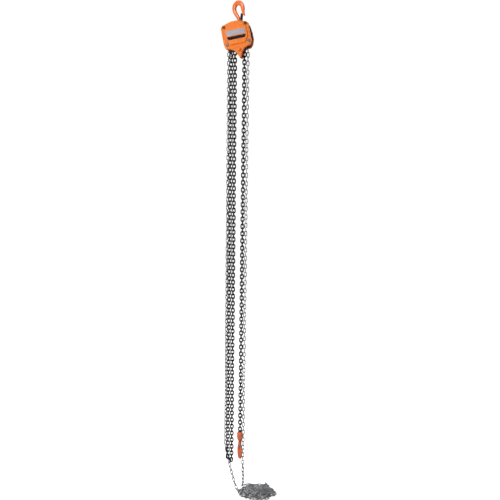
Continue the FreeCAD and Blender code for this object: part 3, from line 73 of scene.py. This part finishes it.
# ------------------------------------------------------------------ shader helpers
class Mat:
    """A node material built up from small procedural steps, all in object space (metres)."""

    def __init__(self, name):
        self.m = bpy.data.materials.new(name)
        self.m.use_nodes = True
        self.t = self.m.node_tree
        self.t.nodes.clear()
        self.out = self.t.nodes.new("ShaderNodeOutputMaterial")
        self.b = self.t.nodes.new("ShaderNodeBsdfPrincipled")
        self.t.links.new(self.b.outputs[0], self.out.inputs[0])
        self.co = self.t.nodes.new("ShaderNodeTexCoord").outputs["Object"]
        self.geo = self.t.nodes.new("ShaderNodeNewGeometry")

    def put(self, name, value):
        s = self.b.inputs[name]
        if hasattr(value, "links"):
            self.t.links.new(value, s)
        else:
            s.default_value = value
        return self

    def noise(self, scale, detail=3.0, rough=0.55, distort=0.0, stretch=None):
        co = self.co
        if stretch:
            mp = self.t.nodes.new("ShaderNodeMapping")
            mp.inputs["Scale"].default_value = stretch
            self.t.links.new(co, mp.inputs["Vector"])
            co = mp.outputs[0]
        n = self.t.nodes.new("ShaderNodeTexNoise")
        n.inputs["Scale"].default_value = scale
        n.inputs["Detail"].default_value = detail
        n.inputs["Roughness"].default_value = rough
        n.inputs["Distortion"].default_value = distort
        self.t.links.new(co, n.inputs["Vector"])
        return n.outputs["Fac"]

    def cells(self, scale):
        n = self.t.nodes.new("ShaderNodeTexVoronoi")
        n.inputs["Scale"].default_value = scale
        self.t.links.new(self.co, n.inputs["Vector"])
        return n.outputs["Distance"]

    def rng(self, value, a, b, c, d):
        n = self.t.nodes.new("ShaderNodeMapRange")
        n.clamp = True
        self.t.links.new(value, n.inputs["Value"])
        for i, v in zip(("From Min", "From Max", "To Min", "To Max"), (a, b, c, d)):
            n.inputs[i].default_value = v
        return n.outputs["Result"]

    def math(self, op, a, b=0.5):
        n = self.t.nodes.new("ShaderNodeMath")
        n.operation = op
        n.use_clamp = op in ("MULTIPLY", "ADD", "SUBTRACT")
        for i, v in enumerate((a, b)):
            if hasattr(v, "links"):
                self.t.links.new(v, n.inputs[i])
            else:
                n.inputs[i].default_value = v
        return n.outputs[0]

    def mix(self, fac, a, b):
        n = self.t.nodes.new("ShaderNodeMix")
        n.data_type = "RGBA"
        for s, v in ((n.inputs[0], fac), (n.inputs[6], a), (n.inputs[7], b)):
            if hasattr(v, "links"):
                self.t.links.new(v, s)
            elif s.type == "RGBA":
                s.default_value = (v[0], v[1], v[2], 1.0)
            else:
                s.default_value = v
        return n.outputs[2]

    def island(self):
        return self.geo.outputs["Random Per Island"]

    def edge(self, radius, low=0.02, high=0.25):
        """About 1 where a bevelled normal turns away from the true one, which is along convex and concave edges."""
        bv = self.t.nodes.new("ShaderNodeBevel")
        bv.samples = 6
        bv.inputs["Radius"].default_value = radius
        d = self.t.nodes.new("ShaderNodeVectorMath")
        d.operation = "DOT_PRODUCT"
        self.t.links.new(bv.outputs[0], d.inputs[0])
        self.t.links.new(self.geo.outputs["Normal"], d.inputs[1])
        return self.rng(self.math("SUBTRACT", 1.0, d.outputs["Value"]), low, high, 0.0, 1.0)

    def crease(self, distance, inside=False):
        # Occlusion mask, near 1 in creases and recesses; mixed into a colour it paints shade there.
        ao = self.t.nodes.new("ShaderNodeAmbientOcclusion")
        ao.samples = 6
        ao.inside = inside
        ao.inputs["Distance"].default_value = distance
        return self.rng(ao.outputs["AO"], 0.25, 0.95, 1.0, 0.0)

    def bump(self, height, strength, distance, soft=None):
        bp = self.t.nodes.new("ShaderNodeBump")
        bp.inputs["Strength"].default_value = strength
        bp.inputs["Distance"].default_value = distance
        self.t.links.new(height, bp.inputs["Height"])
        if soft:
            bv = self.t.nodes.new("ShaderNodeBevel")
            bv.samples = 6
            bv.inputs["Radius"].default_value = soft
            self.t.links.new(bv.outputs[0], bp.inputs["Normal"])
        self.t.links.new(bp.outputs[0], self.b.inputs["Normal"])
        return self


def enamel(name, base, deep, chip, gloss=0.30, wear=0.55):
    """Sprayed enamel on pressed or forged steel: mottled tone, painted shade darkening the creases, thin edges, a few
    chips.
    """
    m = Mat(name)
    tone = m.mix(m.rng(m.noise(16.0, 4.0), 0.30, 0.72, 0.0, 1.0), base, [min(1.0, c * 1.12) for c in base])
    tone = m.mix(m.rng(m.noise(120.0, 3.0), 0.35, 0.75, 0.0, 0.35), tone, deep)
    # Painted shade: the occlusion mask darkens creases and recesses towards the deep tone.
    tone = m.mix(m.math("MULTIPLY", m.crease(9 * MM), 0.62), tone, deep)
    dust = m.math("MULTIPLY", m.rng(m.noise(38.0, 6.0, 0.7), 0.52, 0.72, 0.0, 1.0), 0.10)
    tone = m.mix(dust, tone, (0.62, 0.50, 0.38))
    edge = m.edge(0.9 * MM, 0.03, 0.22)
    thin = m.math("MULTIPLY", edge, m.rng(m.noise(70.0, 4.0), 0.40, 0.62, 0.0, wear))
    tone = m.mix(thin, tone, [min(1.0, c * 1.35 + 0.05) for c in base])
    chips = m.math("MULTIPLY", m.edge(1.3 * MM, 0.05, 0.18), m.rng(m.noise(210.0, 5.0, 0.7), 0.63, 0.67, 0.0, 1.0))
    tone = m.mix(chips, tone, chip)
    m.put("Base Color", tone)
    m.put("Roughness", m.math("ADD", m.rng(m.noise(55.0, 5.0), 0.3, 0.7, gloss - 0.06, gloss + 0.10), m.math("MULTIPLY", m.crease(6 * MM), 0.18)))
    m.put("Coat Weight", 0.22).put("Coat Roughness", 0.18)
    m.put("Specular IOR Level", 0.5)
    m.bump(m.math("ADD", m.math("MULTIPLY", m.noise(900.0, 2.0), 0.5), m.math("MULTIPLY", m.noise(160.0, 2.0), 0.5)), 0.16, 0.12 * MM, soft=0.7 * MM)
    return m.m


def steel(name, base, dark, rough, metallic=1.0, crease_shade=0.45, streak=None, coat=0.0, soft=0.4 * MM, tint=None, isle=0.0):
    m = Mat(name)
    n1 = m.noise(90.0, 5.0, 0.6, 0.0, streak)
    tone = m.mix(m.rng(n1, 0.30, 0.72, 0.0, 1.0), base, [c * 0.80 for c in base])
    if isle:
        tone = m.mix(m.rng(m.island(), 0.0, 1.0, 0.0, isle), tone, dark)
    if tint:
        tone = m.mix(m.rng(m.noise(48.0, 4.0, 0.6), 0.55, 0.75, 0.0, 0.45), tone, tint)
    # Painted shade: creases and recesses are darkened towards the dark colour by the occlusion mask.
    tone = m.mix(m.math("MULTIPLY", m.crease(4 * MM), crease_shade), tone, dark)
    m.put("Base Color", tone).put("Metallic", metallic)
    m.put("Roughness", m.rng(m.noise(150.0, 4.0, 0.6, 0.0, streak), 0.28, 0.74, rough - 0.08, rough + 0.12))
    if coat:
        m.put("Coat Weight", coat).put("Coat Roughness", 0.25)
    m.bump(m.noise(700.0, 3.0, 0.6, 0.0, streak), 0.22, 0.10 * MM, soft=soft)
    return m.m


def chain(name, base, dark, rough, metallic, isle, polish=None, crease_shade=0.6):
    """Welded round links: each link its own tone, rubbed bright where links bear on each other, painted shade darkening
    the gaps between them.
    """
    m = Mat(name)
    tone = m.mix(m.rng(m.island(), 0.0, 1.0, 0.0, isle), base, dark)
    tone = m.mix(m.rng(m.noise(240.0, 4.0, 0.6), 0.34, 0.74, 0.0, 0.55), tone, dark)
    occl = m.crease(5 * MM)
    if polish:
        rub = m.math("MULTIPLY", m.rng(occl, 0.55, 0.95, 0.0, 1.0), m.rng(m.noise(420.0, 3.0), 0.40, 0.62, 0.0, 0.8))
        tone = m.mix(rub, tone, polish)
    # Painted shade: gaps where links meet are darkened towards the dark colour by the occlusion mask.
    tone = m.mix(m.math("MULTIPLY", occl, crease_shade), tone, dark)
    m.put("Base Color", tone).put("Metallic", metallic)
    m.put("Roughness", m.math("ADD", m.rng(m.noise(300.0, 3.0), 0.3, 0.7, rough - 0.07, rough + 0.09), m.rng(m.island(), 0.0, 1.0, 0.0, 0.08)))
    m.bump(m.noise(1300.0, 3.0, 0.65), 0.28, 0.09 * MM)
    return m.m


def label(name):
    """Plain satin aluminium plate: lavender-grey, faint brushed grain, a thin blank border and two blank fields."""
    m = Mat(name)
    grain = m.noise(220.0, 6.0, 0.7, 0.0, (0.35, 1.0, 7.0))
    tone = m.mix(m.rng(grain, 0.35, 0.70, 0.0, 1.0), (0.50, 0.48, 0.53), (0.37, 0.35, 0.40))
    blot = m.rng(m.noise(30.0, 3.0), 0.42, 0.66, 0.0, 0.5)
    tone = m.mix(blot, tone, (0.57, 0.55, 0.57))
    # Painted shade: the plate's creases and rim are darkened towards a dark brown by the occlusion mask.
    tone = m.mix(m.math("MULTIPLY", m.crease(2.5 * MM), 0.5), tone, (0.30, 0.22, 0.20))
    m.put("Base Color", tone).put("Metallic", 0.55)
    m.put("Roughness", m.rng(grain, 0.3, 0.7, 0.30, 0.48))
    m.bump(grain, 0.14, 0.06 * MM, soft=0.3 * MM)
    return m.m


def gloss_black(name):
    m = Mat(name)
    fine = m.noise(180.0, 5.0, 0.65)
    tone = m.mix(m.rng(fine, 0.45, 0.75, 0.0, 0.6), (0.008, 0.008, 0.009), (0.026, 0.024, 0.023))
    m.put("Base Color", tone)
    m.put("Roughness", m.rng(m.noise(60.0, 5.0), 0.3, 0.7, 0.16, 0.34))
    m.bump(m.noise(500.0, 2.0), 0.10, 0.06 * MM, soft=0.4 * MM)
    return m.m


def lining(name):
    m = Mat(name)
    tone = m.mix(m.rng(m.cells(900.0), 0.1, 0.7, 0.0, 1.0), (0.20, 0.13, 0.08), (0.34, 0.25, 0.17))
    tone = m.mix(m.rng(m.noise(70.0, 5.0), 0.4, 0.7, 0.0, 0.5), tone, (0.09, 0.07, 0.06))
    m.put("Base Color", tone).put("Roughness", m.rng(m.noise(200.0), 0.3, 0.7, 0.68, 0.92))
    m.bump(m.cells(900.0), 0.4, 0.15 * MM)
    return m.m


def cast(name):
    m = Mat(name)
    skin = m.noise(520.0, 4.0, 0.6)
    tone = m.mix(m.rng(m.noise(60.0, 4.0), 0.3, 0.7, 0.0, 1.0), (0.12, 0.125, 0.13), (0.19, 0.19, 0.195))
    tone = m.mix(m.math("MULTIPLY", m.edge(0.8 * MM), 0.7), tone, (0.42, 0.42, 0.43))
    # Painted shade: creases and recesses are darkened almost to black by the occlusion mask.
    tone = m.mix(m.math("MULTIPLY", m.crease(5 * MM), 0.6), tone, (0.03, 0.026, 0.022))
    m.put("Base Color", tone).put("Metallic", 0.75)
    m.put("Roughness", m.rng(skin, 0.3, 0.7, 0.42, 0.68))
    m.bump(skin, 0.35, 0.16 * MM, soft=0.6 * MM)
    return m.m


ORANGE = (0.80, 0.200, 0.026)
DEEP = (0.44, 0.060, 0.008)
RED = (0.80, 0.150, 0.035)
mats = {
    "cover_orange": enamel("cover_orange", ORANGE, DEEP, (0.28, 0.16, 0.10)),
    "hook_orange": enamel("hook_orange", (0.77, 0.172, 0.028), (0.40, 0.056, 0.010), (0.24, 0.17, 0.13), gloss=0.34),
    "block_orange": enamel("block_orange", (0.66, 0.118, 0.030), (0.32, 0.040, 0.010), (0.24, 0.17, 0.13), gloss=0.34),
    "label_silver": label("label_silver"),
    "strip_black": gloss_black("strip_black"),
    "black_steel": steel("black_steel", (0.030, 0.030, 0.032), (0.008, 0.008, 0.009), 0.40, metallic=0.35, coat=0.15),
    "load_chain_black": chain("load_chain_black", (0.011, 0.011, 0.012), (0.004, 0.004, 0.004), 0.36, 0.25, 0.5, polish=(0.10, 0.095, 0.09)),
    "hand_chain_zinc": chain("hand_chain_zinc", (0.54, 0.55, 0.57), (0.17, 0.175, 0.19), 0.27, 1.0, 0.45),
    # Painted highlight and shade: the heap gets a brighter copy of the hand chain's zinc, as if more strongly lit, and
    # much darker painted shade in the gaps between links.
    "heap_zinc_lit_copy": chain("heap_zinc_lit_copy", (0.80, 0.81, 0.83), (0.12, 0.125, 0.132), 0.28, 1.0, 0.55, crease_shade=0.95),
    "zinc_steel": steel("zinc_steel", (0.62, 0.61, 0.58), (0.20, 0.18, 0.15), 0.32, tint=(0.60, 0.50, 0.30), isle=0.25),
    "bronze_dark": steel("bronze_dark", (0.20, 0.105, 0.035), (0.045, 0.022, 0.010), 0.42, metallic=0.8, crease_shade=0.8),
    "gear_steel": steel("gear_steel", (0.44, 0.44, 0.45), (0.07, 0.055, 0.04), 0.30, crease_shade=0.6, isle=0.15),
    "cast_grey": cast("cast_grey"),
    "spring_steel": steel("spring_steel", (0.40, 0.40, 0.41), (0.10, 0.09, 0.08), 0.30, soft=0.2 * MM),
    "friction_lining": lining("friction_lining"),
}

slot_of = {s["node"]: s["material_slot"] for s in frame["record"]["subparts"]}
look = dict(slot_of)
for n in ("load_fall", "slack_loop", "load_chain_arc"):
    look[n] = "load_chain_black"
look["hand_chain_heap"] = "heap_zinc_lit_copy"
for n in ("load_hook", "load_yoke_front", "load_yoke_rear"):
    look[n] = "block_orange"


def dress(o, key, angle=32.0):
    o.data.materials.clear()
    o.data.materials.append(mats[key])
    o.data.shade_smooth() if hasattr(o.data, "shade_smooth") else None
    if hasattr(o.data, "set_sharp_from_angle"):
        o.data.set_sharp_from_angle(angle=math.radians(angle))


for name, o in nodes.items():
    dress(o, look[name])


# ------------------------------------------------------------------ chains, link by link
def islands(o):
    """Vertex groups of one mesh that hang together, as lists of welded points."""
    n = len(o.data.vertices)
    co = np.zeros(n * 3, np.float32)
    o.data.vertices.foreach_get("co", co)
    co = co.reshape(-1, 3).astype(float)
    tri = np.zeros(len(o.data.loops), np.int32)
    o.data.loops.foreach_get("vertex_index", tri)
    tri = tri.reshape(-1, 3)
    _, first, weld = np.unique(np.round(co * 2e5).astype(np.int64), axis=0, return_index=True, return_inverse=True)
    weld = weld.reshape(-1)
    t = weld[tri]
    lab = np.arange(len(first))
    while True:
        low = lab[t].min(1)
        new = lab.copy()
        for k in range(3):
            np.minimum.at(new, t[:, k], low)
        new = new[new]
        if (new == lab).all():
            break
        lab = new
    pts = co[first]
    order = np.argsort(lab, kind="stable")
    cuts = np.flatnonzero(np.diff(lab[order])) + 1
    return [pts[g] for g in np.split(order, cuts)]


def link_shape(d, inner, width, sides=12, bend=11):
    """One welded link about its centre: long way Z, wide way X, with a low weld bead on one shank."""
    r, hw = d / 2, (width - d) / 2
    hs = inner / 2 + r - hw
    path = []
    for sgn in (1, -1):
        for k in range(bend + 1):
            a = math.pi * k / bend
            path.append((sgn * hw * math.cos(a), sgn * (hs + hw * math.sin(a)), sgn * math.cos(a), sgn * math.sin(a), r))
        if sgn == 1:
            for f, g in ((0.30, 1.0), (0.12, 1.07), (0.0, 1.10), (-0.12, 1.07), (-0.30, 1.0)):
                path.append((-hw, hs * f, -1.0, 0.0, r * g))
    verts = []
    for x, z, nx, nz, rr in path:
        for j in range(sides):
            b = 2 * math.pi * j / sides
            verts.append((x + nx * rr * math.cos(b), rr * math.sin(b), z + nz * rr * math.cos(b)))
    quads, m = [], len(path)
    for i in range(m):
        for j in range(sides):
            i2, j2 = (i + 1) % m, (j + 1) % sides
            quads.append((i * sides + j, i * sides + j2, i2 * sides + j2, i2 * sides + j))
    return np.array(verts) * MM, np.array(quads)


SHAPES = {"load": link_shape(7.1, 21.0, 23.8), "hand": link_shape(5.0, 24.0, 17.5, sides=10, bend=10)}


def links(node, kind, key, body=None, blend=None):
    """Draws every link of a chain node again, smooth and with its weld, at the place the CAD link has."""
    shape, quads = SHAPES[kind]
    V, F = [], []
    for pts in islands(nodes[node]):
        c = (pts.max(0) + pts.min(0)) / 2
        for _ in range(2):
            w, ax = np.linalg.eigh(np.cov((pts - pts.mean(0)).T))
            ax = ax[:, ::-1]  # long, wide, flat
            q = (pts - c) @ ax
            c = c + ax @ ((q.max(0) + q.min(0)) / 2)
        z, x = ax[:, 0], ax[:, 1]
        if z[2] < 0:
            z = -z
        y = np.cross(z, x)
        F.append(quads + len(V) * len(shape))
        V.append(shape @ np.array([x, y, z]) + c)
    verts, faces = np.vstack(V), np.vstack(F)
    me = bpy.data.meshes.new(node + "_links")
    me.vertices.add(len(verts))
    me.vertices.foreach_set("co", verts.astype(np.float32).ravel())
    me.loops.add(len(faces) * 4)
    me.loops.foreach_set("vertex_index", faces.astype(np.int32).ravel())
    me.polygons.add(len(faces))
    me.polygons.foreach_set("loop_start", np.arange(0, len(faces) * 4, 4, dtype=np.int32))
    me.update(calc_edges=True)
    me.shade_smooth()
    me.materials.append(mats[key])
    o = bpy.data.objects.new(node + "_links", me)
    bpy.context.scene.collection.objects.link(o)
    if blend:
        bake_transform(o)
    else:
        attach(o, body)
    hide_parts(node)
    return o


low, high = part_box("load_fall")
mid = (low.x + high.x) / 2
links("load_fall", "load", "load_chain_black", blend=("load_block", (mid, 0.0, high.z), (mid, 0.0, low.z + 0.02)))
low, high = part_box("slack_loop")
mid = (low.x + high.x) / 2
links("slack_loop", "load", "load_chain_black", blend=("slack_loop", (mid, 0.0, high.z), (mid, 0.0, low.z + 0.03)))
links("load_chain_arc", "load", "load_chain_black", body="hoist_frame")
links("hand_chain_arc", "hand", "hand_chain_zinc", body="hoist_frame")
links("hand_strands", "hand", "hand_chain_zinc", body="hoist_frame")
links("hand_chain_heap", "hand", "heap_zinc_lit_copy", body="hoist_frame")

# ------------------------------------------------------------------ fasteners that differ in finish
def finish_by_place(node, picks):
    """picks: list of (material key, test on a face's centre). Faces that no test takes keep the first finish."""
    o = nodes[node]
    for key, _ in picks:
        o.data.materials.append(mats[key])
    idx = np.zeros(len(o.data.polygons), np.int32)
    cen = np.zeros(len(o.data.polygons) * 3, np.float32)
    o.data.polygons.foreach_get("center", cen)
    cen = cen.reshape(-1, 3)
    for i, (_, test) in enumerate(picks):
        idx[test(cen)] = i + 1
    o.data.polygons.foreach_set("material_index", idx)
    o.data.update()


lo_c, hi_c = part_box("gear_cover")
front = lambda c: c[:, 1] < -0.050
upper = lambda c: front(c) & (c[:, 2] > -0.125)
eye = lambda c: front(c) & (c[:, 2] < -0.2)
for n in ("cover_nuts", "cover_washers", "stay_bolts"):
    finish_by_place(n, [("bronze_dark", upper), ("cover_orange", eye)])

# ------------------------------------------------------------------ floor, light, camera
floor_z = cad_low[2] - 0.0006
rings, around = [], 96
profile = [(0.0, 0.0), (1.0, 0.0), (3.0, 0.0), (6.0, 0.0), (9.0, 0.0)]
profile += [(9.0 + 4.0 * math.sin(math.radians(a)), 4.0 - 4.0 * math.cos(math.radians(a))) for a in range(6, 91, 6)]
profile += [(13.0, 9.0)]
verts, faces = [(0.0, 0.0, floor_z)], []
for r, z in profile[1:]:
    start = len(verts)
    for k in range(around):
        a = 2 * math.pi * k / around
        verts.append((r * math.cos(a), r * math.sin(a), floor_z + z))
    rings.append(start)
for k in range(around):
    faces.append((0, rings[0] + k, rings[0] + (k + 1) % around))
for i in range(len(rings) - 1):
    for k in range(around):
        faces.append((rings[i] + k, rings[i + 1] + k, rings[i + 1] + (k + 1) % around, rings[i] + (k + 1) % around))
mesh = bpy.data.meshes.new("studio_floor")
mesh.from_pydata(verts, [], faces)
mesh.shade_smooth()
floor = bpy.data.objects.new("studio_floor", mesh)
bpy.context.scene.collection.objects.link(floor)
fm = Mat("studio_paper")
paper = fm.mix(fm.rng(fm.noise(3.0, 4.0), 0.3, 0.7, 0.0, 1.0), (0.93, 0.93, 0.93), (0.905, 0.905, 0.905))
seen = fm.t.nodes.new("ShaderNodeLightPath").outputs["Is Camera Ray"]
fm.put("Base Color", fm.mix(seen, (0.42, 0.42, 0.42), paper))
fm.put("Emission Color", (1.0, 1.0, 1.0, 1.0)).put("Emission Strength", fm.math("MULTIPLY", seen, 0.74))
fm.put("Roughness", fm.rng(fm.noise(20.0, 3.0), 0.3, 0.7, 0.75, 0.9))
fm.put("Specular IOR Level", 0.15)
mesh.materials.append(fm.m)

world = bpy.data.worlds.new("studio")
bpy.context.scene.world = world
world.use_nodes = True
wt = world.node_tree
wt.nodes.clear()
wo = wt.nodes.new("ShaderNodeOutputWorld")
bg = wt.nodes.new("ShaderNodeBackground")
bg.inputs["Color"].default_value = (1.0, 1.0, 1.0, 1.0)
bg.inputs["Strength"].default_value = 0.46
wt.links.new(bg.outputs[0], wo.inputs[0])


def lamp(name, kind, place, target, energy, size, colour=(1, 1, 1)):
    d = bpy.data.lights.new(name, kind)
    d.energy = energy
    d.color = colour
    if kind == "AREA":
        d.shape = "RECTANGLE"
        d.size, d.size_y = size
    else:
        d.angle = size
    o = bpy.data.objects.new(name, d)
    bpy.context.scene.collection.objects.link(o)
    o.location = place
    o.rotation_euler = (Vector(target) - Vector(place)).to_track_quat("-Z", "Y").to_euler()
    return o


lamp("key", "AREA", (-2.4, -3.4, 1.7), (0, 0, -0.9), 165.0, (1.2, 1.8))
lamp("fill", "AREA", (3.4, -2.6, -0.4), (0, 0, -1.4), 30.0, (1.8, 3.0))
lamp("low", "AREA", (-1.8, -2.9, -1.5), (0.1, 0, -2.3), 52.0, (1.0, 1.4))
lamp("rim", "AREA", (1.6, 3.6, 1.6), (0, 0, -0.9), 55.0, (1.4, 2.4))

cam_data = bpy.data.cameras.new("camera")
cam = bpy.data.objects.new("camera", cam_data)
bpy.context.scene.collection.objects.link(cam)
bpy.context.scene.camera = cam
AZ, DIST, HEIGHT, YAW, PITCH, ROLL, FOCAL = 4.73, 4.938, -0.528, 3.809, 9.072, 0.776, 887.5
a, yaw, pitch, roll = (math.radians(v) for v in (AZ, YAW, PITCH, ROLL))
cam.location = (math.sin(a) * DIST, -math.cos(a) * DIST, HEIGHT)
forward = Vector((-math.sin(yaw) * math.cos(pitch), math.cos(yaw) * math.cos(pitch), -math.sin(pitch)))
right = Vector((math.cos(yaw), math.sin(yaw), 0.0))
up = right.cross(forward)
right, up = math.cos(roll) * right + math.sin(roll) * up, -math.sin(roll) * right + math.cos(roll) * up
cam.rotation_mode = "QUATERNION"
cam.rotation_quaternion = Matrix((right, up, -forward)).transposed().to_quaternion()
cam_data.sensor_width = 36.0
cam_data.lens = FOCAL / 500.0 * 36.0
cam_data.clip_start, cam_data.clip_end = 0.05, 60.0

bpy.context.scene.view_settings.view_transform = "Standard"
bpy.context.scene.view_settings.look = "None"
